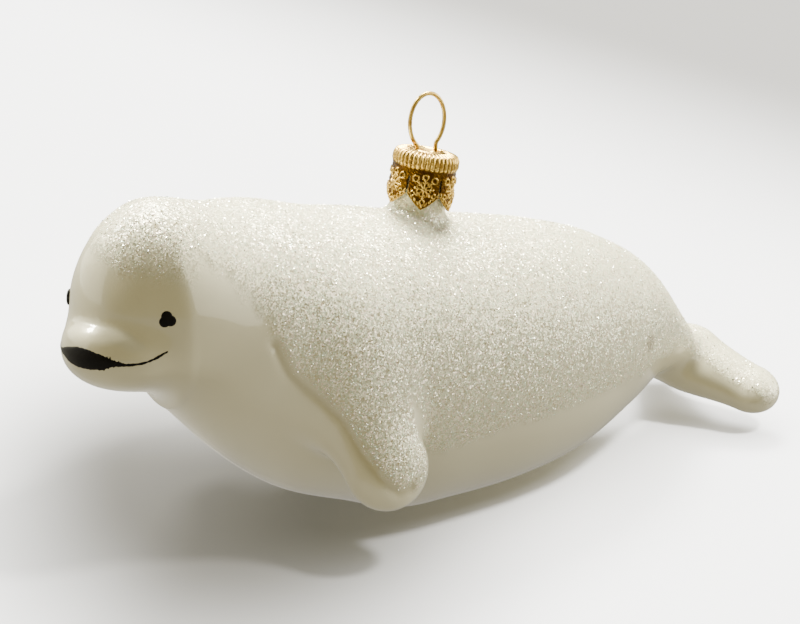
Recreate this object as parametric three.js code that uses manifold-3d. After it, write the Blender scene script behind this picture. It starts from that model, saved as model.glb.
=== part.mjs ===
// Blown-glass hanging ornament: a beluga with a turned head, a gold cap and a wire loop.
// Millimetres. X is forward (snout), Y is the whale's left, Z is up, origin on the floor.
import * as THREE from 'three';
import Module from 'manifold-3d';

const wasm = await Module();
wasm.setup();

const GAP = 0.3;
const SKIN_CELL = 3.0;
const FINE_CELL = 1.9;
const SLIVER = 0.03;
const SLOPE_STEP = 0.02;
const SETTLE_PASSES = 4;
const SETTLE_STEP = 0.4;
const SETTLE_REACH = 0.8;
const FLATTEST = 0.2;

// Body sections along X: centre Y, centre Z, half height, half width.
const SECTIONS = [
  [-59.0, 0.0, 12.0, 0.8, 1.0],
  [-56.5, 0.0, 12.8, 3.8, 4.4],
  [-51.0, 0.0, 15.7, 6.9, 7.6],
  [-45.0, 0.0, 18.3, 10.7, 11.2],
  [-35.0, 0.0, 20.1, 16.0, 16.6],
  [-23.5, 0.0, 21.5, 20.3, 20.8],
  [-10.5, 0.0, 22.5, 22.7, 23.6],
  [3.0, 0.0, 23.8, 24.15, 24.6],
  [11.0, 0.0, 25.0, 25.0, 24.8],
  [20.0, 0.5, 27.7, 24.1, 24.2],
  [33.0, 2.0, 32.7, 22.9, 21.4],
  [43.0, 4.6, 37.8, 19.2, 16.8],
  [52.0, 7.0, 42.6, 14.0, 11.4],
];
const SKIN_BOX = [[-72, -36, -5], [74, 36, 66]];

// Head: centre, turn to the left, and ellipsoids as centre (forward, left, up) and radii.
const HEAD_CENTRE = [54.3, 7.9, 45.6];
const HEAD_TURN = 24;
const SKULL = { at: [-2.4, 0, -1.4], r: [13.1, 11.8, 11.9] };
const MELON = { at: [-1.1, 0, 3.7], r: [10.4, 8.6, 10.8] };
const JAW = { at: [2.2, 0, -5.7], r: [11.6, 10.2, 6.3] };
const LIP = { at: [5.9, 0, -3.0], r: [7.9, 7.4, 3.9] };
const MELON_BLEND = 4;
const JAW_BLEND = 2.5;
const NECK_BLEND = 6.5;
// Rolled lip: creased above and in front, and blended in as it goes down and round the cheek.
const LIP_CREASE = 0.3;
const LIP_BLEND = 2.0;
const FADE_BELOW = [1.5, 4.5];
const FADE_ASIDE = [6.5, 9.5];
const HEAD_BOX = [[34, -16, 20], [76, 32, 66]];

// Left fluke and left flipper: flattened rounded cones, mirrored for the right side.
const FLUKE = { from: [-56, 2, 11.2], to: [-62, 12.5, 7.6], r0: 7.2, r1: 5.4, flat: 1.65 };
const FLUKE_CHORD = [-0.8, -0.5, 0.3];
const FLUKE_BLEND = 3;
const FLUKE_BOX = [[-72, -10, -3], [-44, 24, 24]];
const FLIPPER = { from: [28.4, 16.8, 36], to: [24.6, 26.6, 19.2], r0: 10.6, r1: 6.9, flat: 1.85 };
const FLIPPER_FACE = [0.08, 0.92, 0.38];
const FLIPPER_BLEND = 4;
const FLIPPER_BOX = [[8, 4, 4], [50, 38, 54]];
const LIMB_SKIRT = 1.6;
const LIMB_GAP = 0.45;
const CHEST_MIDDLE = 1.2;

// Planes that part the glass: a point, then the plane's turn and tilt in degrees.
const HEAD_CUT = { forward: -3, tilt: 19 };
const NECK_CUT = { at: [34, 2, 33], turn: 8, tilt: 16 };
const TAIL_CUT = { at: [-44, 0, 17], turn: 0, tilt: -8 };
const BEHIND_HEAD_CUT = 3;
const FAR = 120;

// Cap frame: the glass neck stands square on the sloping back.
const CAP_LEAN = 12;
const CAP_TURN = 30;
const CAP_TOP = [-0.2, 0, 57.0];
// Glass neck under the cap: radius and height from the cap's shoulder, top to buried base.
const GLASS_NECK = [[4.35, 0], [4.35, -6.5], [4.7, -8.3], [5.6, -9.6], [7.0, -10.8]];
const NECK_SIDES = 24;
const CAP_RADIUS = 5.35;
const CAP_FLARE = 0.25;
const CAP_WALL = 0.4;
const CAP_CROWN = 1.2;
const CROWN_INSET = 0.28;
// Rounded crown: radius and height above the shoulder, centre to rim.
const CROWN = [[1.6, CAP_CROWN], [3.4, CAP_CROWN], [4.5, 0.85], [5.1, 0.35]];
const SHOULDER = 0.35;
const PETALS = 6;
const PETAL_STEPS = 8;
const PETAL_SIDE = 5.4;
const PETAL_TIP = 7.6;
const SLIT_TOP = 2.4;
const SLIT_WIDTH = 0.4;
const SLIT_DEPTH = 3;

// Wire loop: the round part begins and ends LOOP_DIP degrees below its widest line.
const WIRE_RADIUS = 0.35;
const WIRE_SIDES = 8;
const LOOP_HALF_WIDTH = 3.3;
const LOOP_TOP = 67.9;
const LOOP_LEAN = 1.5;
const LOOP_DIP = 58;
const LOOP_STEPS = 24;
const LEG_BOTTOM = 57.1;
const LEG_LENGTH = 2.2;

// Enamel: three overlapping dots for each eye and a band for the mouth, let into the glass.
const EYE_AT = { forward: 5.8, left: 9.05, up: 0.75 };
const EYE_DOTS = 3;
const EYE_DOT = 0.79;
const EYE_SPREAD = 0.48;
const EYE_SIDES = 14;
const EYE_REACH = 4;
const PAINT_DEPTH = 0.6;

// Painted mouth: angle round the head in degrees, lower edge and upper edge.
const MOUTH = [
  [0, -5.95, -3.1],
  [14, -5.8, -4.0],
  [22, -5.4, -4.5],
  [31, -5.4, -4.8],
  [40.6, -5.25, -4.65],
  [49.5, -4.6, -4.0],
  [55.4, -4.2, -3.6],
];
const MOUTH_INNER = 3;
const MOUTH_OUTER = 24;
const MOUTH_RADIUS = 11;

const rad = (deg) => (deg * Math.PI) / 180;
const add = (a, b) => [a[0] + b[0], a[1] + b[1], a[2] + b[2]];
const sub = (a, b) => [a[0] - b[0], a[1] - b[1], a[2] - b[2]];
const mul = (a, k) => [a[0] * k, a[1] * k, a[2] * k];
const dot = (a, b) => a[0] * b[0] + a[1] * b[1] + a[2] * b[2];
const cross = (a, b) => [a[1] * b[2] - a[2] * b[1], a[2] * b[0] - a[0] * b[2], a[0] * b[1] - a[1] * b[0]];
const unit = (a) => mul(a, 1 / Math.hypot(...a));
const clamp = (x, lo, hi) => Math.min(hi, Math.max(lo, x));

function smoothMin(a, b, k) {
  const h = clamp(0.5 + (0.5 * (b - a)) / k, 0, 1);
  return b + (a - b) * h - k * h * (1 - h);
}

function ease(x, [from, to]) {
  const t = clamp((x - from) / (to - from), 0, 1);
  return t * t * (3 - 2 * t);
}

// Rows: forward, left, up.
function turned(yaw, pitch) {
  const y = rad(yaw);
  const p = rad(pitch);
  const forward = [Math.cos(y) * Math.cos(p), Math.sin(y) * Math.cos(p), Math.sin(p)];
  const left = [-Math.sin(y), Math.cos(y), 0];
  return [forward, left, cross(forward, left)];
}

const HEAD_AXES = turned(HEAD_TURN, 0);

function headPoint(f, l, u) {
  const level = add(mul(HEAD_AXES[0], f), mul(HEAD_AXES[1], l));
  return add(HEAD_CENTRE, add(level, mul(HEAD_AXES[2], u)));
}

function ellipsoid(p, centre, r, axes) {
  const d = sub(p, centre);
  const q = axes.map((axis, i) => dot(d, axis) / r[i]);
  const k0 = Math.hypot(...q);
  const k1 = Math.hypot(q[0] / r[0], q[1] / r[1], q[2] / r[2]) + 1e-9;
  return (k0 * (k0 - 1)) / k1;
}

function slopes(column) {
  const x = SECTIONS.map((s) => s[0]);
  const v = SECTIONS.map((s) => s[column]);
  const sec = x.slice(1).map((_, i) => (v[i + 1] - v[i]) / (x[i + 1] - x[i]));
  const m = x.map((_, i) => {
    if (i === 0) {
      return sec[0];
    }
    if (i === x.length - 1) {
      return sec[i - 1];
    }
    const before = x[i] - x[i - 1];
    const after = x[i + 1] - x[i];
    return (sec[i - 1] * after + sec[i] * before) / (before + after);
  });
  return { x, v, m };
}

const CURVES = [1, 2, 3, 4].map(slopes);

function along(curve, x) {
  let i = 0;
  while (i < curve.x.length - 2 && x > curve.x[i + 1]) {
    i += 1;
  }
  const h = curve.x[i + 1] - curve.x[i];
  const t = (x - curve.x[i]) / h;
  const s = 1 - t;
  const ends = (1 + 2 * t) * s * s * curve.v[i] + t * t * (3 - 2 * t) * curve.v[i + 1];
  return ends + t * s * s * h * curve.m[i] + t * t * (t - 1) * h * curve.m[i + 1];
}

function bodyField(p) {
  const x = clamp(p[0], SECTIONS[0][0], SECTIONS[SECTIONS.length - 1][0]);
  const [cy, cz, rz, ry] = CURVES.map((curve) => along(curve, x));
  const qy = (p[1] - cy) / ry;
  const qz = (p[2] - cz) / rz;
  const k = Math.hypot(qy, qz) + 1e-9;
  const d = ((k - 1) * Math.hypot(qy * ry, qz * rz)) / k;
  const e = Math.abs(p[0] - x);
  return e > 0 ? Math.hypot(Math.max(d, 0), e) : d;
}

function headField(p) {
  const part = (s) => ellipsoid(p, headPoint(...s.at), s.r, HEAD_AXES);
  const skull = smoothMin(part(SKULL), part(MELON), MELON_BLEND);
  const face = smoothMin(skull, part(JAW), JAW_BLEND);
  const d = sub(p, HEAD_CENTRE);
  const fade = Math.max(ease(-d[2], FADE_BELOW), ease(Math.abs(dot(d, HEAD_AXES[1])), FADE_ASIDE));
  return smoothMin(face, part(LIP), LIP_CREASE + (LIP_BLEND - LIP_CREASE) * fade);
}

// Rounded cone, squeezed along its face normal.
function paddle(p, shape, normal) {
  const ab = sub(shape.to, shape.from);
  const d = sub(p, shape.from);
  const t = clamp(dot(d, ab) / dot(ab, ab), 0, 1);
  let q = sub(d, mul(ab, t));
  q = add(q, mul(normal, dot(q, normal) * (shape.flat - 1)));
  return Math.hypot(...q) - (shape.r0 + (shape.r1 - shape.r0) * ease(t, [0, 1]));
}

const FLUKE_NORMAL = (() => {
  const n = unit(cross(unit(sub(FLUKE.to, FLUKE.from)), unit(FLUKE_CHORD)));
  return mul(n, Math.sign(n[2]));
})();
const FLIPPER_NORMAL = unit(FLIPPER_FACE);
const CAP_AXIS = [-Math.sin(rad(CAP_LEAN)), 0, Math.cos(rad(CAP_LEAN))];
const CAP_SIDE = [Math.cos(rad(CAP_LEAN)), 0, Math.sin(rad(CAP_LEAN))];
const LEFT = [0, 1, 0];

function coreField(p) {
  return smoothMin(bodyField(p), headField(p), NECK_BLEND);
}

function flukeField(p, side) {
  return paddle([p[0], p[1] * side, p[2]], FLUKE, FLUKE_NORMAL);
}

// The right flipper mirrors the left one across the chest's own middle.
function flipperField(p, side) {
  const y = side > 0 ? p[1] : 2 * CHEST_MIDDLE - p[1];
  return paddle([p[0], y, p[2]], FLIPPER, FLIPPER_NORMAL);
}

function wholeField(p) {
  let t = coreField(p);
  for (const side of [1, -1]) {
    t = smoothMin(t, flukeField(p, side), FLUKE_BLEND);
    t = smoothMin(t, flipperField(p, side), FLIPPER_BLEND);
  }
  return t;
}

function solidFrom(vertices, triangles) {
  return new wasm.Manifold(
    new wasm.Mesh({
      numProp: 3,
      vertProperties: new Float32Array(vertices.flat()),
      triVerts: new Uint32Array(triangles.flat()),
    }),
  );
}

// Closed surface of field = 0: one vertex per crossed cell, then moved onto the surface.
function fieldSolid(field, lo, hi, cell) {
  const n = [0, 1, 2].map((k) => Math.ceil((hi[k] - lo[k]) / cell) + 1);
  const at = (i, j, k) => (i * n[1] + j) * n[2] + k;
  const value = new Float64Array(n[0] * n[1] * n[2]);
  const node = (i, j, k) => [lo[0] + i * cell, lo[1] + j * cell, lo[2] + k * cell];
  for (let i = 0; i < n[0]; i += 1) {
    for (let j = 0; j < n[1]; j += 1) {
      for (let k = 0; k < n[2]; k += 1) {
        value[at(i, j, k)] = field(node(i, j, k));
      }
    }
  }
  const corners = [0, 1, 2, 3, 4, 5, 6, 7].map((c) => [c & 1, (c >> 1) & 1, (c >> 2) & 1]);
  const edges = [];
  for (let a = 0; a < 8; a += 1) {
    for (const bit of [1, 2, 4].filter((b) => !(a & b))) {
      edges.push([a, a | bit]);
    }
  }
  const vertices = [];
  const index = new Map();
  for (let i = 0; i < n[0] - 1; i += 1) {
    for (let j = 0; j < n[1] - 1; j += 1) {
      for (let k = 0; k < n[2] - 1; k += 1) {
        const v = corners.map((c) => value[at(i + c[0], j + c[1], k + c[2])]);
        const cut = edges.filter(([a, b]) => v[a] < 0 !== v[b] < 0);
        if (cut.length === 0) {
          continue;
        }
        let sum = [0, 0, 0];
        for (const [a, b] of cut) {
          const t = v[a] / (v[a] - v[b]);
          const delta = mul(sub(corners[b], corners[a]), t);
          sum = add(sum, add(corners[a], delta));
        }
        index.set(at(i, j, k), vertices.length);
        vertices.push(add(node(i, j, k), mul(sum, cell / cut.length)));
      }
    }
  }
  for (const v of vertices) {
    onto(field, v, cell);
  }
  const triangles = [];
  const steps = [[1, 0, 0], [0, 1, 0], [0, 0, 1]];
  for (let i = 1; i < n[0] - 1; i += 1) {
    for (let j = 1; j < n[1] - 1; j += 1) {
      for (let k = 1; k < n[2] - 1; k += 1) {
        for (let axis = 0; axis < 3; axis += 1) {
          const s = steps[axis];
          const inside = value[at(i, j, k)] < 0;
          if (inside === value[at(i + s[0], j + s[1], k + s[2])] < 0) {
            continue;
          }
          const u = steps[(axis + 1) % 3];
          const w = steps[(axis + 2) % 3];
          const quad = [[0, 0], [1, 0], [1, 1], [0, 1]].map(([a, b]) =>
            index.get(at(i - a * u[0] - b * w[0], j - a * u[1] - b * w[1], k - a * u[2] - b * w[2])));
          const q = inside ? quad : quad.slice().reverse();
          const d0 = Math.hypot(...sub(vertices[q[0]], vertices[q[2]]));
          const d1 = Math.hypot(...sub(vertices[q[1]], vertices[q[3]]));
          if (d0 <= d1) {
            triangles.push([q[0], q[1], q[2]], [q[0], q[2], q[3]]);
          } else {
            triangles.push([q[1], q[2], q[3]], [q[1], q[3], q[0]]);
          }
        }
      }
    }
  }
  return solidFrom(vertices, triangles);
}

function onto(field, v, cell) {
  const start = v.slice();
  for (let pass = 0; pass < SETTLE_PASSES; pass += 1) {
    const f = field(v);
    const g = gradient(field, v);
    const step = clamp(f / Math.max(dot(g, g), FLATTEST), -SETTLE_STEP * cell, SETTLE_STEP * cell);
    for (let k = 0; k < 3; k += 1) {
      v[k] = clamp(v[k] - step * g[k], start[k] - SETTLE_REACH * cell, start[k] + SETTLE_REACH * cell);
    }
  }
}

function gradient(field, p) {
  return [0, 1, 2].map((k) => {
    const a = p.slice();
    const b = p.slice();
    a[k] += SLOPE_STEP;
    b[k] -= SLOPE_STEP;
    return (field(a) - field(b)) / (2 * SLOPE_STEP);
  });
}

function orientedBox(centre, axes, half) {
  const v = [];
  for (let c = 0; c < 8; c += 1) {
    const s = [c & 1, (c >> 1) & 1, (c >> 2) & 1].map((bit, k) => (bit ? half[k] : -half[k]));
    v.push(add(centre, add(mul(axes[0], s[0]), add(mul(axes[1], s[1]), mul(axes[2], s[2])))));
  }
  const quads = [[0, 2, 3, 1], [4, 5, 7, 6], [0, 1, 5, 4], [2, 6, 7, 3], [0, 4, 6, 2], [1, 3, 7, 5]];
  return solidFrom(v, quads.flatMap(([a, b, c, d]) => [[a, b, c], [a, c, d]]));
}

// Everything on the far side of a plane, starting half a gap beyond it.
function beyond(point, axes, sign) {
  const centre = add(point, mul(axes[0], sign * (FAR + GAP / 2)));
  return orientedBox(centre, axes, [FAR, FAR, FAR]);
}

// Closed solid from rings of equal length, with a pole at each end.
function ringsSolid(rings, first, last) {
  const count = rings[0].length;
  const v = [...rings.flat(), first, last];
  const t = [];
  const id = (r, i) => r * count + (i % count);
  for (let i = 0; i < count; i += 1) {
    t.push([rings.length * count, id(0, i + 1), id(0, i)]);
    t.push([rings.length * count + 1, id(rings.length - 1, i), id(rings.length - 1, i + 1)]);
    for (let r = 0; r < rings.length - 1; r += 1) {
      t.push([id(r, i), id(r, i + 1), id(r + 1, i + 1)]);
      t.push([id(r, i), id(r + 1, i + 1), id(r + 1, i)]);
    }
  }
  return solidFrom(v, t);
}

function largest(solid) {
  return solid.decompose().sort((a, b) => b.volume() - a.volume())[0];
}

const floorBlock = orientedBox([0, 0, -FAR], turned(0, 0), [FAR, FAR, FAR]);
const headCut = { at: headPoint(HEAD_CUT.forward, 0, 0), axes: turned(HEAD_TURN, HEAD_CUT.tilt) };
const neckAxes = turned(NECK_CUT.turn, NECK_CUT.tilt);
const tailAxes = turned(TAIL_CUT.turn, TAIL_CUT.tilt);
const sideAxes = turned(90, 0);

// The head a given depth below the skin, closed by a wall a little behind the head's cut.
const headWall = add(headCut.at, mul(headCut.axes[0], -BEHIND_HEAD_CUT));

function headBelow(depth) {
  const behind = (p) => dot(sub(headWall, p), headCut.axes[0]);
  return fieldSolid((p) => Math.max(wholeField(p) + depth, behind(p)), ...HEAD_BOX, FINE_CELL);
}

const fineHead = headBelow(0);
const innerHead = headBelow(PAINT_DEPTH);
const pocketHead = headBelow(PAINT_DEPTH + GAP);

// A wedge round the head's upright axis between two height curves, mirrored left to right.
function mouthWedge(extra) {
  const stations = [];
  for (const [angle, low, high] of MOUTH.slice().reverse()) {
    stations.push([-angle, low, high]);
  }
  stations.push(...MOUTH.slice(1));
  const turnExtra = extra / MOUTH_RADIUS;
  const v = [];
  stations.forEach(([angle, low, high], i) => {
    const end = i === 0 ? -1 : i === stations.length - 1 ? 1 : 0;
    const a = rad(angle) + end * turnExtra;
    const from = low - extra;
    const to = high + extra;
    const corners = [[MOUTH_INNER, from], [MOUTH_OUTER, from], [MOUTH_OUTER, to], [MOUTH_INNER, to]];
    for (const [r, z] of corners) {
      v.push(headPoint(r * Math.cos(a), r * Math.sin(a), z));
    }
  });
  const t = [];
  const last = (stations.length - 1) * 4;
  for (let i = 0; i < stations.length - 1; i += 1) {
    for (let k = 0; k < 4; k += 1) {
      const a = i * 4 + k;
      const b = i * 4 + ((k + 1) % 4);
      t.push([a, a + 4, b + 4], [a, b + 4, b]);
    }
  }
  t.push([0, 1, 2], [0, 2, 3], [last, last + 2, last + 1], [last, last + 3, last + 2]);
  return solidFrom(v, t);
}

// The eye's overlapping dots, extruded along the skin's normal at the eye.
function eyeTool(side, grow) {
  const start = headPoint(EYE_AT.forward, side * EYE_AT.left, EYE_AT.up);
  const out = unit(gradient(wholeField, start));
  const across = unit(cross([0, 0, 1], out));
  const up = cross(out, across);
  let tool = null;
  for (let i = 0; i < EYE_DOTS; i += 1) {
    const a = rad(90 + (360 * i) / EYE_DOTS);
    const offset = add(mul(across, EYE_SPREAD * Math.cos(a)), mul(up, EYE_SPREAD * Math.sin(a)));
    const c = add(start, offset);
    const ring = (h) => [...Array(EYE_SIDES).keys()].map((k) => {
      const b = (k * 2 * Math.PI) / EYE_SIDES;
      const r = EYE_DOT + grow;
      const flat = add(mul(across, r * Math.cos(b)), mul(up, r * Math.sin(b)));
      return add(add(c, flat), mul(out, h));
    });
    const inner = add(c, mul(out, -EYE_REACH));
    const outer = add(c, mul(out, EYE_REACH));
    const solid = ringsSolid([ring(-EYE_REACH), ring(EYE_REACH)], inner, outer);
    tool = tool ? tool.add(solid) : solid;
  }
  return tool;
}

const headPart = beyond(headCut.at, headCut.axes, 1);
const eyeLeft = largest(eyeTool(1, 0).subtract(innerHead).intersect(fineHead));
const eyeRight = largest(eyeTool(-1, 0).subtract(innerHead).intersect(fineHead));
const mouth = largest(mouthWedge(0).subtract(innerHead).intersect(fineHead));
const pockets = eyeTool(1, GAP).add(eyeTool(-1, GAP)).add(mouthWedge(GAP)).subtract(pocketHead);
const head = largest(fineHead.subtract(pockets).intersect(headPart));

// Flippers and flukes: what stands outside the body core, each meshed finely.
const core = fieldSolid(coreField, ...SKIN_BOX, SKIN_CELL);

function limb(limbField, side, lo, hi) {
  const low = side > 0 ? lo : [lo[0], -hi[1], lo[2]];
  const high = side > 0 ? hi : [hi[0], -lo[1], hi[2]];
  const outside = (p) => Math.max(wholeField(p), limbField(p, side) - LIMB_SKIRT);
  const grown = (p) => coreField(p) - LIMB_GAP;
  const margin = [2 * FINE_CELL, 2 * FINE_CELL, 2 * FINE_CELL];
  const boxed = (p) => Math.max(grown(p), ...boxWalls(p, low, high));
  const coreGrown = fieldSolid(boxed, sub(low, margin), add(high, margin), FINE_CELL);
  return fieldSolid(outside, low, high, FINE_CELL).subtract(coreGrown);
}

function boxWalls(p, lo, hi) {
  return [0, 1, 2].flatMap((k) => [lo[k] - p[k], p[k] - hi[k]]);
}

const flipperLeft = largest(limb(flipperField, 1, ...FLIPPER_BOX));
const flipperRight = largest(limb(flipperField, -1, ...FLIPPER_BOX));
const flukeLeft = largest(limb(flukeField, 1, ...FLUKE_BOX)
  .intersect(beyond([0, 0, 0], sideAxes, 1)));
const flukeRight = largest(limb(flukeField, -1, ...FLUKE_BOX)
  .intersect(beyond([0, 0, 0], sideAxes, -1)));

const trunk = core.subtract(floorBlock);
const neck = largest(trunk
  .intersect(beyond(headCut.at, headCut.axes, -1))
  .intersect(beyond(NECK_CUT.at, neckAxes, 1)));
const tailStock = largest(trunk.intersect(beyond(TAIL_CUT.at, tailAxes, -1)));
const body = trunk
  .intersect(beyond(NECK_CUT.at, neckAxes, -1))
  .intersect(beyond(TAIL_CUT.at, tailAxes, 1));

// Cap: a crowned cup with six pointed petals, slit between them.
function capPoint(r, angle, h) {
  const side = add(mul(CAP_SIDE, r * Math.cos(angle)), mul(LEFT, r * Math.sin(angle)));
  return add(add(CAP_TOP, side), mul(CAP_AXIS, h));
}

function glassNeckSolid() {
  const sides = [...Array(NECK_SIDES).keys()].map((i) => (i * 2 * Math.PI) / NECK_SIDES);
  const rings = GLASS_NECK.map(([r, h]) => sides.map((a) => capPoint(r, -a, h)));
  const heights = [GLASS_NECK[0][1], GLASS_NECK[GLASS_NECK.length - 1][1]];
  const poles = heights.map((h) => add(CAP_TOP, mul(CAP_AXIS, h)));
  return ringsSolid(rings, poles[0], poles[1]);
}

function capSolid() {
  const count = PETALS * PETAL_STEPS;
  const angles = [...Array(count).keys()].map((i) => rad(CAP_TURN) + (i * 2 * Math.PI) / count);
  const lowEdge = angles.map((_, i) => {
    const t = Math.abs((i % PETAL_STEPS) / (PETAL_STEPS / 2) - 1);
    return -(PETAL_TIP - (PETAL_TIP - PETAL_SIDE) * t);
  });
  const edgeRing = (inset) => angles.map((a, i) => {
    const flare = CAP_FLARE * clamp(-lowEdge[i] / PETAL_TIP, 0, 1);
    return capPoint(CAP_RADIUS + flare - inset, a, lowEdge[i]);
  });
  const levelRing = (r, h) => angles.map((a) => capPoint(r, a, h));
  const outer = CROWN.map(([r, h]) => levelRing(r, h));
  outer.push(levelRing(CAP_RADIUS, -SHOULDER));
  outer.push(edgeRing(0));
  const inner = [edgeRing(CAP_WALL), levelRing(CAP_RADIUS - CAP_WALL, -SHOULDER - CAP_WALL / 2)];
  for (const [r, h] of CROWN.slice().reverse()) {
    inner.push(levelRing(r - CROWN_INSET, h - CAP_WALL));
  }
  const top = add(CAP_TOP, mul(CAP_AXIS, CAP_CROWN));
  const under = add(CAP_TOP, mul(CAP_AXIS, CAP_CROWN - CAP_WALL));
  let cap = ringsSolid([...outer, ...inner].map((ring) => ring.slice().reverse()), top, under);
  const slitHalf = PETAL_TIP - SLIT_TOP;
  for (let i = 0; i < PETALS; i += 1) {
    const a = rad(CAP_TURN) + (i * 2 * Math.PI) / PETALS;
    const axes = [
      add(mul(CAP_SIDE, Math.cos(a)), mul(LEFT, Math.sin(a))),
      add(mul(CAP_SIDE, -Math.sin(a)), mul(LEFT, Math.cos(a))),
      CAP_AXIS,
    ];
    const drop = mul(CAP_AXIS, -SLIT_TOP - slitHalf);
    const centre = add(CAP_TOP, add(mul(axes[0], CAP_RADIUS), drop));
    cap = cap.subtract(orientedBox(centre, axes, [SLIT_DEPTH / 2, SLIT_WIDTH / 2, slitHalf]));
  }
  return cap;
}

function wirePath() {
  const points = [];
  const bottom = LEG_BOTTOM + LEG_LENGTH;
  const height = LOOP_TOP - WIRE_RADIUS - bottom;
  const low = Math.sin(rad(-LOOP_DIP));
  for (let i = 0; i <= LOOP_STEPS; i += 1) {
    const a = rad(-LOOP_DIP + ((180 + 2 * LOOP_DIP) * i) / LOOP_STEPS);
    const z = bottom + (height * (Math.sin(a) - low)) / (1 - low);
    points.push([LOOP_HALF_WIDTH * Math.cos(a), 0, z]);
  }
  const legs = points[0][0];
  points.unshift([legs, 0, LEG_BOTTOM]);
  points.push([-legs, 0, LEG_BOTTOM]);
  const lean = rad(LOOP_LEAN);
  return points.map(([x, y, z]) => {
    const h = z - LEG_BOTTOM;
    return [CAP_TOP[0] + x - h * Math.sin(lean), y, LEG_BOTTOM + h * Math.cos(lean)];
  });
}

function wireSolid(radius) {
  const path = wirePath();
  const rings = path.map((p, i) => {
    const tangent = unit(sub(path[Math.min(i + 1, path.length - 1)], path[Math.max(i - 1, 0)]));
    const normal = cross(LEFT, tangent);
    return [...Array(WIRE_SIDES).keys()].map((k) => {
      const a = (k * 2 * Math.PI) / WIRE_SIDES;
      return add(p, add(mul(normal, radius * Math.cos(a)), mul(LEFT, radius * Math.sin(a))));
    });
  });
  return ringsSolid(rings, path[0], path[path.length - 1]);
}

const loop = wireSolid(WIRE_RADIUS);
const wireWay = wireSolid(WIRE_RADIUS + GAP);
const cap = largest(capSolid().subtract(wireWay));
const torso = largest(body.add(glassNeckSolid()).subtract(wireWay));

const PEARL = new THREE.MeshStandardMaterial({ color: 0xe4e2d8, roughness: 0.12 });
const BLACK = new THREE.MeshStandardMaterial({ color: 0x0c0c0c, roughness: 0.2 });
const GOLD = new THREE.MeshStandardMaterial({ color: 0xc79a3a, metalness: 1, roughness: 0.3 });

const group = new THREE.Group();

function put(name, solid, material) {
  const out = solid.simplify(SLIVER).getMesh();
  const geometry = new THREE.BufferGeometry();
  geometry.setAttribute('position', new THREE.BufferAttribute(new Float32Array(out.vertProperties), 3));
  geometry.setIndex(new THREE.BufferAttribute(new Uint32Array(out.triVerts), 1));
  geometry.computeVertexNormals();
  const mesh = new THREE.Mesh(geometry, material);
  mesh.name = name;
  group.add(mesh);
}

put('head', head, PEARL);
put('neck', neck, PEARL);
put('torso', torso, PEARL);
put('tail_stock', tailStock, PEARL);
put('fluke_left', flukeLeft, PEARL);
put('fluke_right', flukeRight, PEARL);
put('flipper_left', flipperLeft, PEARL);
put('flipper_right', flipperRight, PEARL);
put('eye_left', eyeLeft, BLACK);
put('eye_right', eyeRight, BLACK);
put('mouth', mouth, BLACK);
put('cap', cap, GOLD);
put('hanger_loop', loop, GOLD);

export default group;
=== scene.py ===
import math

import bmesh
import bpy
import numpy as np
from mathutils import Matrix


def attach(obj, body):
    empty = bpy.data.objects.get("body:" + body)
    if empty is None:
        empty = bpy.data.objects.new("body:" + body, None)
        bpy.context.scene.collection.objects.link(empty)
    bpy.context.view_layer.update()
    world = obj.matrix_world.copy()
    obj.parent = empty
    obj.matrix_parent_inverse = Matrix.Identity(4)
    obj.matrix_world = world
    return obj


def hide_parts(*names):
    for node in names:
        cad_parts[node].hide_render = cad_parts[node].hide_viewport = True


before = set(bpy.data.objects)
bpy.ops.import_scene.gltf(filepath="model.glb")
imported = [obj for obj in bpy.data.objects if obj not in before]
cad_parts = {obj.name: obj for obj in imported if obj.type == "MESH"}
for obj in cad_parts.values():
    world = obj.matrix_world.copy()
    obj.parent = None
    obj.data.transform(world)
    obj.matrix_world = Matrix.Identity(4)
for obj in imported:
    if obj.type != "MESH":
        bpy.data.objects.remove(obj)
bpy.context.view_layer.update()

# A blown-glass hanging ornament in the shape of a beluga: pearl-white lacquered glass, iridescent
# glitter on the back, black enamel eyes and mouth, and a gold pressed cap with a wire loop.
# Shapes are worked out in millimetres in the part's own frame and written to the meshes in metres.
MM = 0.001


# The camera.
# It stands off the whale's left cheek and looks down about twenty degrees, as the photographer did.
CAMERA_AZIMUTH = math.radians(147)
CAMERA_ELEVATION = math.radians(20)
CAMERA_DISTANCE = 330
CAMERA_AIM = np.array([3.4, -2.2, 30.7])
VIEW_WIDTH = 132
SENSOR_WIDTH = 36

camera_back = np.array([
    math.sin(CAMERA_AZIMUTH) * math.cos(CAMERA_ELEVATION),
    -math.cos(CAMERA_AZIMUTH) * math.cos(CAMERA_ELEVATION),
    math.sin(CAMERA_ELEVATION),
])
camera_place = CAMERA_AIM + camera_back * CAMERA_DISTANCE
camera_data = bpy.data.cameras.new("camera")
camera_data.sensor_width = SENSOR_WIDTH
camera_data.lens = SENSOR_WIDTH * CAMERA_DISTANCE / VIEW_WIDTH
camera_data.clip_start = 0.01
camera_data.clip_end = 20
camera = bpy.data.objects.new("camera", camera_data)
camera.location = camera_place * MM
camera.rotation_euler = (math.pi / 2 - CAMERA_ELEVATION, 0, CAMERA_AZIMUTH)
bpy.context.scene.collection.objects.link(camera)
bpy.context.scene.camera = camera


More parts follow.
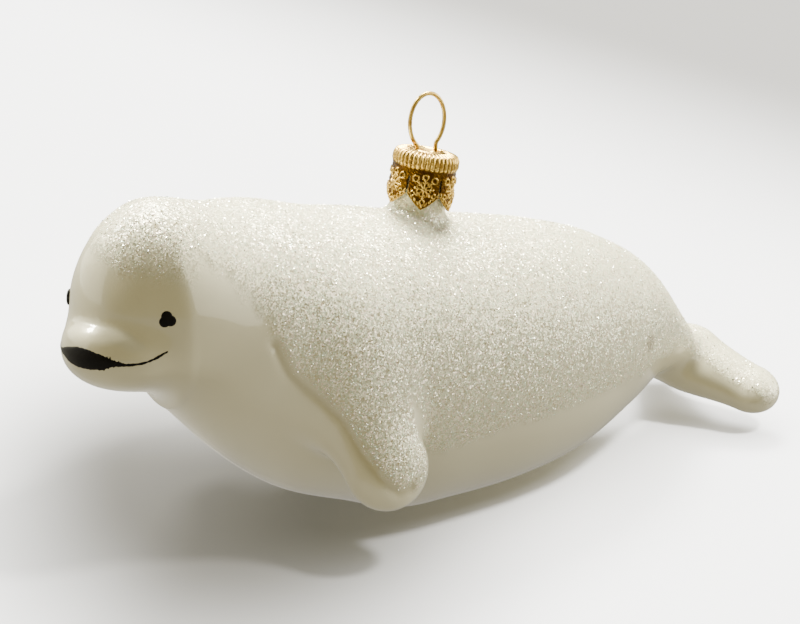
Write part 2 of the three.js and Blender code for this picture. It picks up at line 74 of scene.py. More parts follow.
# The glass body.
# One blown shell of pearl-lacquered glass, from the snout to the flukes and up the short neck that
# the cap grips. It is the smooth union of a lofted body, a head of four bulbs and four flat limbs.
STATIONS = np.array([  # x, centre y, centre z, half height, half width
    [-59.0, 0.0, 12.0, 0.8, 1.0],
    [-56.5, 0.0, 12.8, 3.8, 4.4],
    [-51.0, 0.0, 17.0, 6.9, 7.6],
    [-45.0, 0.0, 20.6, 10.7, 11.2],
    [-35.0, 0.0, 22.0, 16.0, 16.6],
    [-23.5, 0.0, 21.9, 20.3, 20.8],
    [-10.5, 0.0, 22.5, 22.7, 23.6],
    [3.0, 0.0, 23.8, 24.15, 24.6],
    [11.0, 0.0, 25.0, 25.0, 24.8],
    [20.0, 0.5, 27.7, 24.1, 24.2],
    [33.0, 2.0, 32.7, 22.9, 21.4],
    [43.0, 4.6, 37.8, 19.2, 16.8],
    [52.0, 7.0, 42.6, 14.0, 11.4],
])
HEAD_CENTRE = np.array([54.3, 7.9, 45.6])
HEAD_TURN = math.radians(24)
HEAD_AXES = np.array([
    [math.cos(HEAD_TURN), math.sin(HEAD_TURN), 0],
    [-math.sin(HEAD_TURN), math.cos(HEAD_TURN), 0],
    [0, 0, 1],
])
SKULL = ((-2.4, 0, -1.4), (13.1, 11.8, 11.9))
MELON = ((-1.1, 0, 3.7), (10.4, 8.6, 10.8))
JAW = ((2.2, 0, -5.7), (11.6, 10.2, 6.3))
LIP = ((5.9, 0, -3.0), (7.9, 7.4, 3.9))
MELON_BLEND = 4
JAW_BLEND = 2.5
LIP_CREASE = 0.3
LIP_BLEND = 2.0
LIP_FADE_BELOW = (1.5, 4.5)
LIP_FADE_ASIDE = (6.5, 9.5)
NECK_BLEND = 6.5
FLUKE_BLEND = 3
FLIPPER_BLEND = 4
FLUKE_FROM = np.array([-56, 2, 11.2])
FLUKE_TO = np.array([-62, 12.5, 7.6])
FLUKE_CHORD = np.array([-0.8, -0.5, 0.3])
FLUKE_RADII = (7.2, 5.4)
FLUKE_FLAT = 1.65
FLIPPER_FROM = np.array([28.4, 16.8, 36])
FLIPPER_TO = np.array([24.6, 26.6, 19.2])
FLIPPER_FACE = np.array([0.08, 0.92, 0.38])
FLIPPER_RADII = (10.6, 6.9)
FLIPPER_FLAT = 1.85
CHEST_MIDDLE = 1.2
CAP_LEAN = math.radians(12)
CAP_TOP = np.array([-0.2, 0, 57.0])
CAP_AXIS = np.array([-math.sin(CAP_LEAN), 0, math.cos(CAP_LEAN)])
CAP_SIDE = np.array([math.cos(CAP_LEAN), 0, math.sin(CAP_LEAN)])
LEFT = np.array([0.0, 1.0, 0.0])
GLASS_NECK_RADIUS = 4.35
GLASS_NECK_DEPTH = 14
GLASS_NECK_BLEND = 2.4
SKIN_CELL = 0.6
SLOPE_STEP = 0.04
SKIN_LOW = np.array([-70.0, -31.0, -1.5])
SKIN_HIGH = np.array([71.0, 33.0, 62.0])


def direction(v):
    """A vector divided by its length."""
    return v / np.linalg.norm(v)


def smooth_union(a, b, width):
    """The smaller of two distances, rounded by a quadratic where they differ by less than width."""
    h = np.clip(0.5 + 0.5 * (b - a) / width, 0, 1)
    return b + (a - b) * h - width * h * (1 - h)


def ramp(x, low, high):
    """0 below low, 1 above high, and a smooth cubic between."""
    t = np.clip((x - low) / (high - low), 0, 1)
    return t * t * (3 - 2 * t)


def curve_through(x, xs, vs):
    """Cubic through the stations, each slope the weighted mean of the chords on either side."""
    i = np.clip(np.searchsorted(xs, x) - 1, 0, len(xs) - 2)
    chords = (vs[1:] - vs[:-1]) / (xs[1:] - xs[:-1])
    before = xs[1:-1] - xs[:-2]
    after = xs[2:] - xs[1:-1]
    slopes = np.concatenate([
        chords[:1], (chords[:-1] * after + chords[1:] * before) / (before + after), chords[-1:]])
    step = xs[i + 1] - xs[i]
    t = (x - xs[i]) / step
    ends = (1 + 2 * t) * (1 - t) ** 2 * vs[i] + t * t * (3 - 2 * t) * vs[i + 1]
    return ends + step * (t * (1 - t) ** 2 * slopes[i] + t * t * (t - 1) * slopes[i + 1])


def body_distance(p):
    """Ellipse lofted along x: how far the point lies outside the section at its own x."""
    x = np.clip(p[..., 0], STATIONS[0, 0], STATIONS[-1, 0])
    cy, cz, rz, ry = (curve_through(x, STATIONS[:, 0], STATIONS[:, k]) for k in (1, 2, 3, 4))
    y = p[..., 1] - cy
    z = p[..., 2] - cz
    k = np.hypot(y / ry, z / rz) + 1e-9
    d = (k - 1) * np.hypot(y, z) / k
    past_end = np.abs(p[..., 0] - x)
    return np.where(past_end > 0, np.hypot(np.maximum(d, 0), past_end), d)


def head_point(forward, left, up):
    """A point given ahead of, to the left of and above the middle of the head."""
    level = np.multiply.outer(forward, HEAD_AXES[0]) + np.multiply.outer(left, HEAD_AXES[1])
    return HEAD_CENTRE + level + np.multiply.outer(up, HEAD_AXES[2])


def bulb_distance(p, bulb):
    """Distance to an ellipsoid in the head's axes, by the ratio of its two scaled lengths."""
    q = (p - head_point(*bulb[0])) @ HEAD_AXES.T
    r = np.array(bulb[1])
    k0 = np.sqrt(((q / r) ** 2).sum(-1))
    k1 = np.sqrt(((q / r ** 2) ** 2).sum(-1)) + 1e-9
    return k0 * (k0 - 1) / k1


def head_distance(p):
    """Skull, melon and jaw blended, then the rolled lip: its crease is sharp above and in front,
    and the lip runs smoothly into the chin below and the cheek beside it."""
    skull = smooth_union(bulb_distance(p, SKULL), bulb_distance(p, MELON), MELON_BLEND)
    face = smooth_union(skull, bulb_distance(p, JAW), JAW_BLEND)
    aside = np.abs((p - HEAD_CENTRE) @ HEAD_AXES[1])
    below = HEAD_CENTRE[2] - p[..., 2]
    soft = np.maximum(ramp(below, *LIP_FADE_BELOW), ramp(aside, *LIP_FADE_ASIDE))
    return smooth_union(face, bulb_distance(p, LIP), LIP_CREASE + (LIP_BLEND - LIP_CREASE) * soft)


def limb_coordinates(p, start, end):
    """Where a point lies along a limb from root 0 to tip 1, and its offset from the limb's line."""
    line = end - start
    d = p - start
    t = np.clip((d @ line) / (line @ line), 0, 1)
    return t, d - t[..., None] * line


def limb_radius(t, radii):
    """Radius of a limb at a place along it from root 0 to tip 1."""
    return radii[0] + (radii[1] - radii[0]) * t * t * (3 - 2 * t)


def paddle_distance(p, start, end, normal, radii, flat):
    """A rounded cone whose offset along the face normal counts flat times, which squeezes it."""
    t, off = limb_coordinates(p, start, end)
    off = off + (off @ normal)[..., None] * normal * (flat - 1)
    return np.linalg.norm(off, axis=-1) - limb_radius(t, radii)


flipper_normal = direction(FLIPPER_FACE)
fluke_normal = direction(np.cross(direction(FLUKE_TO - FLUKE_FROM), direction(FLUKE_CHORD)))
fluke_normal = fluke_normal * np.sign(fluke_normal[2])


def across(p, side, middle):
    """The point itself for the left side, or its mirror image across y = middle for the right."""
    return p if side > 0 else p * [1, -1, 1] + [0, 2 * middle, 0]


def flipper_distance(p, side):
    """One flipper; the right one mirrors the left across the middle of the chest."""
    return paddle_distance(across(p, side, CHEST_MIDDLE), FLIPPER_FROM, FLIPPER_TO,
                           flipper_normal, FLIPPER_RADII, FLIPPER_FLAT)


def fluke_distance(p, side):
    """One half of the tail."""
    return paddle_distance(across(p, side, 0), FLUKE_FROM, FLUKE_TO,
                           fluke_normal, FLUKE_RADII, FLUKE_FLAT)


def glass_distance(p):
    """The whole shell: body and head, flukes and flippers, then the neck that carries the cap."""
    t = smooth_union(body_distance(p), head_distance(p), NECK_BLEND)
    for side in (1, -1):
        t = smooth_union(t, fluke_distance(p, side), FLUKE_BLEND)
        t = smooth_union(t, flipper_distance(p, side), FLIPPER_BLEND)
    d = p - CAP_TOP
    height = d @ CAP_AXIS
    around = np.linalg.norm(d - height[..., None] * CAP_AXIS, axis=-1) - GLASS_NECK_RADIUS
    neck = np.maximum(around, np.maximum(height, -height - GLASS_NECK_DEPTH))
    t = smooth_union(t, neck, GLASS_NECK_BLEND)
    return np.maximum(t, -p[..., 2])


def slope_of(distance, p):
    """Central differences of a distance along the three axes."""
    steps = np.eye(3) * SLOPE_STEP
    return np.stack([distance(p + s) - distance(p - s) for s in steps], -1) / (2 * SLOPE_STEP)


def settle_on(distance, p, passes=3):
    """Moves points along the slope until the distance is nought, and gives the normals there."""
    for _ in range(passes):
        g = slope_of(distance, p)
        p = p - g * (distance(p) / np.maximum((g ** 2).sum(-1), 0.2))[..., None]
    g = slope_of(distance, p)
    return p, g / np.linalg.norm(g, axis=-1, keepdims=True)


def skin_of(distance, low, high, cell):
    """Surface where the distance changes sign: one vertex in each crossed cell of a grid, at the
    mean of its crossed edges, and one quad round each crossed grid edge."""
    axes = [np.arange(low[k], high[k] + cell, cell) for k in range(3)]
    plane = np.stack(np.meshgrid(axes[1], axes[2], indexing="ij"), -1)
    shape = tuple(len(a) for a in axes)
    value = np.empty(shape)
    for i, x in enumerate(axes[0]):
        layer = np.concatenate([np.full(plane.shape[:2] + (1,), x), plane], -1)
        value[i] = distance(layer)
    inside = value < 0
    count = sum(
        inside[a:shape[0] - 1 + a, b:shape[1] - 1 + b, c:shape[2] - 1 + c].astype(np.int8)
        for a in (0, 1) for b in (0, 1) for c in (0, 1))
    crossed = (count > 0) & (count < 8)
    cells = np.argwhere(crossed)
    number = np.full(crossed.shape, -1)
    number[crossed] = np.arange(len(cells))
    total = np.zeros((len(cells), 3))
    hits = np.zeros(len(cells))
    for corner in np.ndindex(2, 2, 2):
        for axis in (k for k in range(3) if corner[k] == 0):
            a = cells + corner
            b = a + np.eye(3, dtype=int)[axis]
            va = value[tuple(a.T)]
            vb = value[tuple(b.T)]
            cut = (va < 0) != (vb < 0)
            t = np.where(cut, va / np.where(cut, va - vb, 1), 0)
            total += np.where(cut[:, None], a + t[:, None] * (b - a), 0)
            hits += cut
    points = np.asarray(low) + total / hits[:, None] * cell
    quads = []
    for axis in range(3):
        before = [slice(None)] * 3
        after = [slice(None)] * 3
        before[axis] = slice(0, -1)
        after[axis] = slice(1, None)
        edge = np.argwhere(inside[tuple(before)] != inside[tuple(after)])
        u, v = (axis + 1) % 3, (axis + 2) % 3
        turn = ~inside[tuple(edge.T)]
        ring = []
        for du, dv in ((1, 1), (0, 1), (0, 0), (1, 0)):
            near = edge.copy()
            near[:, u] -= du
            near[:, v] -= dv
            ring.append(number[tuple(near.T)])
        quad = np.stack(ring, 1)
        quad[turn] = quad[turn][:, ::-1]
        quads.append(quad)
    return points, np.concatenate(quads)


SINES = 14
SINES_TOGETHER = 5


def waves(p, size, seed):
    """Smooth noise mostly between -1 and 1: sines about size mm long along random directions."""
    draw = np.random.default_rng(seed)
    turns = draw.normal(size=(SINES, 3)) * (2 * np.pi / size) * 0.6
    starts = draw.uniform(0, 2 * np.pi, SINES)
    return np.sin(p @ turns.T + starts).sum(-1) / SINES_TOGETHER


# Height of the glitter's lower edge above the floor at each x: flank, shoulder, cheek, melon.
GLITTER_EDGE = np.array([
    [-62, 9.0], [-48, 17.5], [-38, 18.3], [-20, 18.8], [-2, 18.5], [12, 17.3], [22, 17.5], [30, 22.0],
    [34, 30.6], [38.5, 36.0], [41, 41.5], [43, 46.5], [46, 52.2], [54, 53.0], [63, 54.2], [72, 55.0],
])
# At each x: how softly that edge fades, and how thickly the glitter lies above it.
GLITTER_FADE = ([-60, 20, 36, 48, 60], [1.2, 1.5, 3.0, 6.0, 5.0])
GLITTER_AMOUNT = ([34, 42, 50, 58, 66], [1, 0.7, 0.9, 0.9, 0.45])
# How wide a flipper's bare rim is behind, beside and ahead of its middle line.
BARE_RIM = ([-0.8, 0.1, 0.9], [0.9, 2.2, 3.0])
FLIPPER_STANDS_OUT = 17
FLIPPER_LEAVES_BODY = 33
# Where the glittered top of a fluke ends in a ridge: distance from the middle, and x there.
FLUKE_RIDGE = np.array([[6.5, -54.4], [8.8, -55.1], [12.0, -56.9], [15.3, -58.8], [17.3, -60.7]])
FLUKE_LEAVES_BODY = -54
FLUKE_AMOUNT = 0.45


def flipper_glitter(p, n, side):
    """Glitter on a flipper's outer face inside its bare rim, and how surely a point is on it."""
    q = across(p, side, CHEST_MIDDLE)
    t, off = limb_coordinates(q, FLIPPER_FROM, FLIPPER_TO)
    forward = np.cross(flipper_normal, direction(FLIPPER_TO - FLIPPER_FROM))
    forward = forward * np.sign(forward[0])
    flat_off = off - (off @ flipper_normal)[..., None] * flipper_normal
    reach = np.linalg.norm(flat_off, axis=-1)
    rim = np.interp((flat_off @ forward) / (reach + 1e-6), *BARE_RIM)
    inside = ramp(limb_radius(t, FLIPPER_RADII) - reach - rim, -0.3, 0.3)
    face = inside * ramp(q[..., 1] - FLIPPER_STANDS_OUT, 0, 2)
    face = face * ramp(across(n, side, 0) @ flipper_normal, 0.1, 0.35)
    below_shoulder = ramp(FLIPPER_LEAVES_BODY - q[..., 2], 0, 3)
    return face, ramp(1.6 - flipper_distance(p, side), 0, 0.6) * below_shoulder


def fluke_glitter(p, n, side):
    """Glitter on top of a fluke behind its ridge, and how surely a point is on that fluke."""
    ridge = np.interp(p[..., 1] * side, FLUKE_RIDGE[:, 0], FLUKE_RIDGE[:, 1])
    top = FLUKE_AMOUNT * ramp(across(n, side, 0) @ fluke_normal, 0.1, 0.4)
    top = top * ramp(ridge - p[..., 0], -0.3, 0.3)
    tail = ramp(0.9 - fluke_distance(p, side), 0, 0.5) * ramp(FLUKE_LEAVES_BODY - p[..., 0], 0, 2)
    return top, tail * ramp(p[..., 1] * side, -0.6, 0.6)


def glitter_cover(p, n):
    """How thickly glitter lies at a point: 1 on the back and limb faces, 0 on face, chin and belly."""
    edge = np.interp(p[..., 0], GLITTER_EDGE[:, 0], GLITTER_EDGE[:, 1])
    soft = np.interp(p[..., 0], *GLITTER_FADE)
    ragged = waves(p, 5, 3) * 0.35 * soft
    cover = ramp(p[..., 2] - edge + ragged, -0.6 * soft, soft)
    cover *= np.interp(p[..., 0], *GLITTER_AMOUNT)
    for side in (1, -1):
        for amount, here in (flipper_glitter(p, n, side), fluke_glitter(p, n, side)):
            cover = cover * (1 - here) + amount * here
    return np.clip(cover, 0, 1)


def mesh_object(name, points, faces, smooth=True):
    """A Blender mesh from points in millimetres and faces of equal length."""
    faces = np.asarray(faces)
    mesh = bpy.data.meshes.new(name)
    mesh.vertices.add(len(points))
    mesh.vertices.foreach_set("co", (np.asarray(points) * MM).astype(np.float32).ravel())
    mesh.loops.add(faces.size)
    mesh.loops.foreach_set("vertex_index", faces.astype(np.int32).ravel())
    mesh.polygons.add(len(faces))
    mesh.polygons.foreach_set("loop_start", np.arange(0, faces.size, faces.shape[1], dtype=np.int32))
    mesh.polygons.foreach_set("use_smooth", np.full(len(faces), smooth))
    mesh.update(calc_edges=True)
    mesh.validate()
    made = bpy.data.objects.new(name, mesh)
    bpy.context.scene.collection.objects.link(made)
    return made


def point_value(made, name, values):
    """Stores one number for each vertex, for the material to read."""
    attribute = made.data.attributes.new(name, "FLOAT", "POINT")
    attribute.data.foreach_set("value", np.asarray(values, np.float32).ravel())


# The fold pressed into the glass from the shoulder down along the flipper's thick front rim.
FOLD = np.array([
    [40.5, 21.7, 40.3], [39.5, 22.2, 37.6], [38.5, 22.4, 35.4], [36.4, 23.1, 33.1], [34.4, 24.0, 31.1],
    [31.6, 25.6, 27.6], [29.8, 27.7, 22.6], [27.8, 30.0, 18.9], [24.9, 30.9, 16.1], [22.8, 30.9, 16.6],
])
FOLD_HALF_WIDTH = 0.75
FOLD_DEPTH = 0.3
FOLD_AHEAD_OF = 18
FOLD_OUT_FROM = 15


def fold_share(points):
    """How far each point lies in the fold on its own side: 1 on the fold's line, 0 clear of it."""
    share = np.zeros(len(points))
    for side in (1, -1):
        beside = (points[:, 1] - CHEST_MIDDLE) * side > FOLD_OUT_FROM
        near = np.where((points[:, 0] > FOLD_AHEAD_OF) & beside)[0]
        q = across(points[near], side, CHEST_MIDDLE)
        for start, end in zip(FOLD[:-1], FOLD[1:]):
            off = limb_coordinates(q, start, end)[1]
            here = np.exp(-(off ** 2).sum(-1) / FOLD_HALF_WIDTH ** 2)
            share[near] = np.maximum(share[near], here)
    return share


GLITTER_THICKNESS = 0.12
skin_points, skin_quads = skin_of(glass_distance, SKIN_LOW, SKIN_HIGH, SKIN_CELL)
skin_points, skin_normals = settle_on(glass_distance, skin_points)
skin_points[:, 2] = np.maximum(skin_points[:, 2], 0)
skin_fold = fold_share(skin_points)
skin_cover = glitter_cover(skin_points, skin_normals) * (1 - ramp(skin_fold, 0.15, 0.6))
skin_points = skin_points - skin_normals * (FOLD_DEPTH * skin_fold)[:, None]
skin_points = skin_points + skin_normals * (ramp(skin_cover, 0.1, 0.7) * GLITTER_THICKNESS)[:, None]
skin_points[:, 2] = np.maximum(skin_points[:, 2], 0)
glass_body = mesh_object("glass_body", skin_points, skin_quads)
point_value(glass_body, "glitter_cover", skin_cover)
# The fold's share is kept for the material, which paints shade along it.
point_value(glass_body, "fold", skin_fold)


def set_inputs(tree, node, inputs):
    """Joins each named input to another node's output, or gives it a value of its own."""
    for label, source in inputs.items():
        if isinstance(source, bpy.types.NodeSocket):
            tree.links.new(source, node.inputs[label])
        else:
            node.inputs[label].default_value = source


def put(tree, kind, inputs=None, **settings):
    """A new shader node with these settings and inputs."""
    node = tree.nodes.new("ShaderNode" + kind)
    for name, value in settings.items():
        setattr(node, name, value)
    set_inputs(tree, node, inputs or {})
    return node


def mixed(tree, factor, a, b, blend="MIX"):
    """Colour a turned into b, or multiplied by it, as far as the factor says."""
    inputs = {"Factor": factor, "A": a, "B": b}
    return put(tree, "Mix", inputs, data_type="RGBA", blend_type=blend).outputs["Result"]


def mapped(tree, value, span, result, curve="LINEAR"):
    """A value carried from one span over to another and held at its ends."""
    inputs = {"Value": value, "From Min": span[0], "From Max": span[1],
              "To Min": result[0], "To Max": result[1]}
    return put(tree, "MapRange", inputs, interpolation_type=curve).outputs[0]


def toned(tree, value, stops, curve="LINEAR"):
    """The colour that a value has on a ramp; each stop is a position and a colour."""
    node = put(tree, "ValToRGB", {"Fac": value})
    node.color_ramp.interpolation = curve
    while len(node.color_ramp.elements) < len(stops):
        node.color_ramp.elements.new(0.5)
    for element, (position, colour) in zip(node.color_ramp.elements, stops):
        element.position = position
        element.color = (*colour, 1)
    return node.outputs["Color"]


def node_setup(name):
    """A new material, its node tree and its Principled BSDF."""
    material = bpy.data.materials.new(name)
    material.use_nodes = True
    return material, material.node_tree, material.node_tree.nodes["Principled BSDF"]


def group_frame(name, inputs, outputs):
    """A shader node group with the named sockets, each given as (name, socket type)."""
    tree = bpy.data.node_groups.new(name, "ShaderNodeTree")
    for label, kind in inputs:
        tree.interface.new_socket(label, in_out="INPUT", socket_type=kind)
    for label, kind in outputs:
        tree.interface.new_socket(label, in_out="OUTPUT", socket_type=kind)
    return tree, tree.nodes.new("NodeGroupInput"), tree.nodes.new("NodeGroupOutput")


# Glitter grain is shared by the lacquer under the glitter and by the loose flakes: every small cell
# of space gets its own tilt and its own pale tint, as flakes of cut iridescent film do.
FILM_TINTS = [(0.0, (0.96, 0.72, 0.76)), (0.25, (0.97, 0.95, 0.80)), (0.5, (0.72, 0.93, 0.78)),
              (0.75, (0.94, 0.93, 0.86)), (1.0, (0.98, 0.86, 0.60))]
PLAIN_FILM = (0.86, 0.85, 0.80, 1)
glitter_grain, grain_in, grain_out = group_frame(
    "glitter_grain",
    [("Cells per metre", "NodeSocketFloat"), ("Tilt", "NodeSocketFloat"), ("Tint", "NodeSocketFloat")],
    [("Normal", "NodeSocketVector"), ("Colour", "NodeSocketColor")])
tree = glitter_grain
place = put(tree, "TexCoord").outputs["Object"]
density = grain_in.outputs["Cells per metre"]
cells = put(tree, "TexVoronoi", {"Vector": place, "Scale": density}).outputs["Color"]
centred = put(tree, "VectorMath", {0: cells, 1: (0.5, 0.5, 0.5)}, operation="SUBTRACT")
tilted = put(tree, "VectorMath", {0: centred.outputs[0]}, operation="SCALE")
set_inputs(tree, tilted, {"Scale": grain_in.outputs["Tilt"]})
surface = put(tree, "NewGeometry").outputs["Normal"]
leaning = put(tree, "VectorMath", {0: surface, 1: tilted.outputs[0]}, operation="ADD")
upright = put(tree, "VectorMath", {0: leaning.outputs[0]}, operation="NORMALIZE")
parts = put(tree, "SeparateColor", {0: cells})
film = toned(tree, parts.outputs[0], FILM_TINTS)
set_inputs(tree, grain_out, {
    "Normal": upright.outputs[0],
    "Colour": mixed(tree, grain_in.outputs["Tint"], PLAIN_FILM, film)})

PEARL = (0.71, 0.68, 0.50, 1)
PEARL_WARM = (0.67, 0.635, 0.45, 1)
PEARL_UNDER_GLITTER = (0.74, 0.715, 0.58, 1)
# Painted shade on the face: the colour darkens between these two places along the body.
FACE_SHADE_STARTS = (0.040, 0.056)
FACE_SHADE_TONE = (0.84, 0.83, 0.78, 1)
# Painted shade along the pressed fold: the colour darkens there.
FOLD_SHADE_TONE = (0.70, 0.68, 0.60, 1)
# A small ragged chip in the lacquer, low on the left of the tail, shows the duller glass beneath.
CHIP_AT = (-0.0346, 0.0168, 0.0234)
CHIP_RAGGED = -0.0026
CHIP_EDGE = (-0.0001, 0.0003)
CHIP_SHARE = 0.75
CHIP_TONE = (0.26, 0.21, 0.12, 1)
GRAINS_PER_METRE = 4300
GRAIN_TILT = 0.7
GRAIN_TINT = 0.55

pearl, tree, shader = node_setup("pearl_lacquered_glass")
place = put(tree, "TexCoord").outputs["Object"]
cover = put(tree, "Attribute", attribute_name="glitter_cover").outputs["Fac"]
fold = put(tree, "Attribute", attribute_name="fold").outputs["Fac"]
cloud = put(tree, "TexNoise", {"Vector": place, "Scale": 55, "Detail": 3}).outputs["Fac"]
along_body = put(tree, "SeparateXYZ", {0: place}).outputs["X"]
# The bare lacquer with its random warm cloud, and painted shade over the face.
face_shade_share = mapped(tree, along_body, FACE_SHADE_STARTS, (0, 1), "SMOOTHSTEP")
bare = mixed(tree, face_shade_share, mixed(tree, cloud, PEARL, PEARL_WARM), FACE_SHADE_TONE, "MULTIPLY")
tilt = put(tree, "Math", {0: cover, 1: GRAIN_TILT}, operation="MULTIPLY").outputs[0]
grain = put(tree, "Group", node_tree=glitter_grain)
set_inputs(tree, grain, {"Cells per metre": GRAINS_PER_METRE, "Tilt": tilt, "Tint": GRAIN_TINT})
dusted = mixed(tree, 1, PEARL_UNDER_GLITTER, grain.outputs["Colour"], "MULTIPLY")
# Painted shade: the colour darkens along the fold.
fold_shaded = mixed(tree, fold, mixed(tree, cover, bare, dusted), FOLD_SHADE_TONE, "MULTIPLY")
chip_away = put(tree, "VectorMath", {0: place, 1: CHIP_AT}, operation="DISTANCE").outputs["Value"]
chip_noise = put(tree, "TexNoise", {"Vector": place, "Scale": 1500}).outputs["Fac"]
chip_edge = put(tree, "Math", {0: chip_noise, 1: CHIP_RAGGED, 2: chip_away}, operation="MULTIPLY_ADD")
chip = mapped(tree, chip_edge.outputs[0], CHIP_EDGE, (CHIP_SHARE, 0))
set_inputs(tree, shader, {
    "Base Color": mixed(tree, chip, fold_shaded, CHIP_TONE),
    "Normal": grain.outputs["Normal"],
    "Roughness": mapped(tree, cover, (0, 1), (0.34, 0.28)),
    "Coat Weight": mapped(tree, cover, (0, 1), (1, 0)),
    "Coat Roughness": 0.03,
    "Coat IOR": 1.55,
    "Metallic": 0.12,
    "Specular IOR Level": 0.3,
})
glass_body.data.materials.append(pearl)
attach(glass_body, "root")
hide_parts("head", "neck", "torso", "tail_stock", "fluke_left", "fluke_right",
            "flipper_left", "flipper_right")


# The glitter.
# Thousands of tiny flakes of iridescent film, dusted on wet lacquer over the back, melon, flippers
# and flukes. Each is a flat four-cornered lozenge, closed, lying on the skin at its own small tilt.
FLAKES_IN_A_PIECE = 24800
GLITTER_PIECES = ("glitter_tail", "glitter_loin", "glitter_back", "glitter_shoulder", "glitter_head")
FLAKE_SIZES = (0.035, 0.075)
SPANGLE_SIZES = (0.11, 0.18)
SPANGLE_SHARE = 0.08
SPANGLE_TILT = 1.1
FLAKE_THICKNESS = 0.022
FLAKE_TILT = 0.5
FLAKE_LIFT = 0.05
FLAKE_STRETCH = (0.7, 1.0)
LOWEST_FLAKE = 0.3
BODY_MIDDLE = 24
FILM_CELLS = 2600
FILM_TINT = 0.8

draw = np.random.default_rng(11)
corners = skin_points[skin_quads]
quad_area = 0.5 * np.linalg.norm(
    np.cross(corners[:, 2] - corners[:, 0], corners[:, 3] - corners[:, 1]), axis=-1)
quad_cover = skin_cover[skin_quads].mean(-1)
weight = quad_area * ramp(quad_cover, 0.02, 0.9) ** 1.3
total_flakes = FLAKES_IN_A_PIECE * len(GLITTER_PIECES)
chosen = draw.choice(len(skin_quads), total_flakes, p=weight / weight.sum())
u = draw.random(total_flakes)[:, None]
v = draw.random(total_flakes)[:, None]
flake_at = ((1 - u) * (1 - v) * corners[chosen, 0] + u * (1 - v) * corners[chosen, 1]
            + u * v * corners[chosen, 2] + (1 - u) * v * corners[chosen, 3])
flake_up = skin_normals[skin_quads[chosen]].mean(1)
spangle = (draw.random(total_flakes) < SPANGLE_SHARE)[:, None]
lean = np.where(spangle, SPANGLE_TILT, FLAKE_TILT) * draw.random((total_flakes, 1))
flake_up = flake_up + draw.normal(size=flake_up.shape) * lean
flake_up /= np.linalg.norm(flake_up, axis=-1, keepdims=True)
lifted = draw.uniform(0.0, FLAKE_LIFT, (total_flakes, 1))
flake_at = flake_at + skin_normals[skin_quads[chosen]].mean(1) * lifted
clear_of_floor = flake_at[:, 2] > LOWEST_FLAKE
spin = draw.normal(size=flake_up.shape)
flake_x = np.cross(flake_up, spin)
flake_x /= np.linalg.norm(flake_x, axis=-1, keepdims=True)
flake_y = np.cross(flake_up, flake_x)
flake_size = np.where(spangle, draw.uniform(*SPANGLE_SIZES, (total_flakes, 1)),
                      draw.uniform(*FLAKE_SIZES, (total_flakes, 1)))
stretch = draw.uniform(*FLAKE_STRETCH, (total_flakes, 1))
FLAKE_FACES = np.array([[0, 1, 4], [1, 2, 4], [2, 3, 4], [3, 0, 4],
                        [1, 0, 5], [2, 1, 5], [3, 2, 5], [0, 3, 5]])

film_flakes, tree, shader = node_setup("iridescent_film")
grain = put(tree, "Group", node_tree=glitter_grain)
set_inputs(tree, grain, {"Cells per metre": FILM_CELLS, "Tilt": 0, "Tint": FILM_TINT})
large = put(tree, "Attribute", attribute_name="spangle").outputs["Fac"]
set_inputs(tree, shader, {
    "Base Color": grain.outputs["Colour"],
    "Metallic": mapped(tree, large, (0, 1), (0.4, 1)),
    "Roughness": mapped(tree, large, (0, 1), (0.36, 0.13)),
})

order = np.argsort(flake_at[:, 0], kind="stable")
for index, piece_name in enumerate(GLITTER_PIECES):
    mine = order[index * FLAKES_IN_A_PIECE:(index + 1) * FLAKES_IN_A_PIECE]
    mine = mine[clear_of_floor[mine]]
    at, up, size = flake_at[mine], flake_up[mine] * FLAKE_THICKNESS, flake_size[mine]
    along = flake_x[mine] * size
    aside = flake_y[mine] * size * stretch[mine]
    flake_points = np.stack([at + along, at + aside, at - along, at - aside, at + up, at - up], 1)
    flake_faces = FLAKE_FACES + np.arange(len(mine))[:, None, None] * 6
    flakes = mesh_object(piece_name, flake_points.reshape(-1, 3), flake_faces.reshape(-1, 3), False)
    point_value(flakes, "spangle", np.repeat(spangle[mine, 0], 6))
    # Each flake bakes in its own small square, placed by its order along and then round the body.
    columns = int(math.ceil(math.sqrt(len(mine))))
    column = np.arange(len(mine)) // columns
    round_body = np.arctan2(at[:, 2] - BODY_MIDDLE, at[:, 1])
    rank = np.lexsort((round_body, column))
    row = np.empty(len(mine), int)
    row[rank] = np.arange(len(mine)) - column[rank] * columns
    centre = np.stack([column + 0.5, row + 0.5], -1) / columns
    square = np.array([[1, 0], [0, 1], [-1, 0], [0, -1], [0, 0], [0, 0]]) * 0.4 / columns
    places = centre[:, None, None, :] + square[FLAKE_FACES][None]
    flakes.data.uv_layers.new(name="OFBake").data.foreach_set("uv", places.astype(np.float32).ravel())
    flakes.data.materials.append(film_flakes)
    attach(flakes, "root")


# The eyes.
# Each is three touching dabs of thick black enamel, domed as the drops dried, one on each side of
# the head a little above the corner of the mouth.
EYE_PLACES = {1: (5.8, 9.05, 0.75), -1: (6.6, -8.7, 0.9)}
EYE_DOT = 0.79
EYE_SPREAD = 0.48
EYE_DOME = {1: 0.16, -1: 0.4}
EYE_ROOT = 0.25
EYE_TURN = 0.12
EYE_EDGE = 0.02
EYE_GRID = (26, 96)

enamel, tree, shader = node_setup("black_enamel")
place = put(tree, "TexCoord").outputs["Object"]
brushed = put(tree, "TexNoise", {"Vector": place, "Scale": 900, "Detail": 4}).outputs["Fac"]
thin = toned(tree, brushed, [(0.35, (0.0015, 0.0013, 0.0012)), (0.8, (0.006, 0.0045, 0.0035))])
ripple = put(tree, "Bump", {"Height": brushed, "Strength": 0.25, "Distance": 0.00008})
set_inputs(tree, shader, {"Base Color": thin, "Normal": ripple.outputs["Normal"],
                          "Roughness": 0.42, "Specular IOR Level": 0.1})


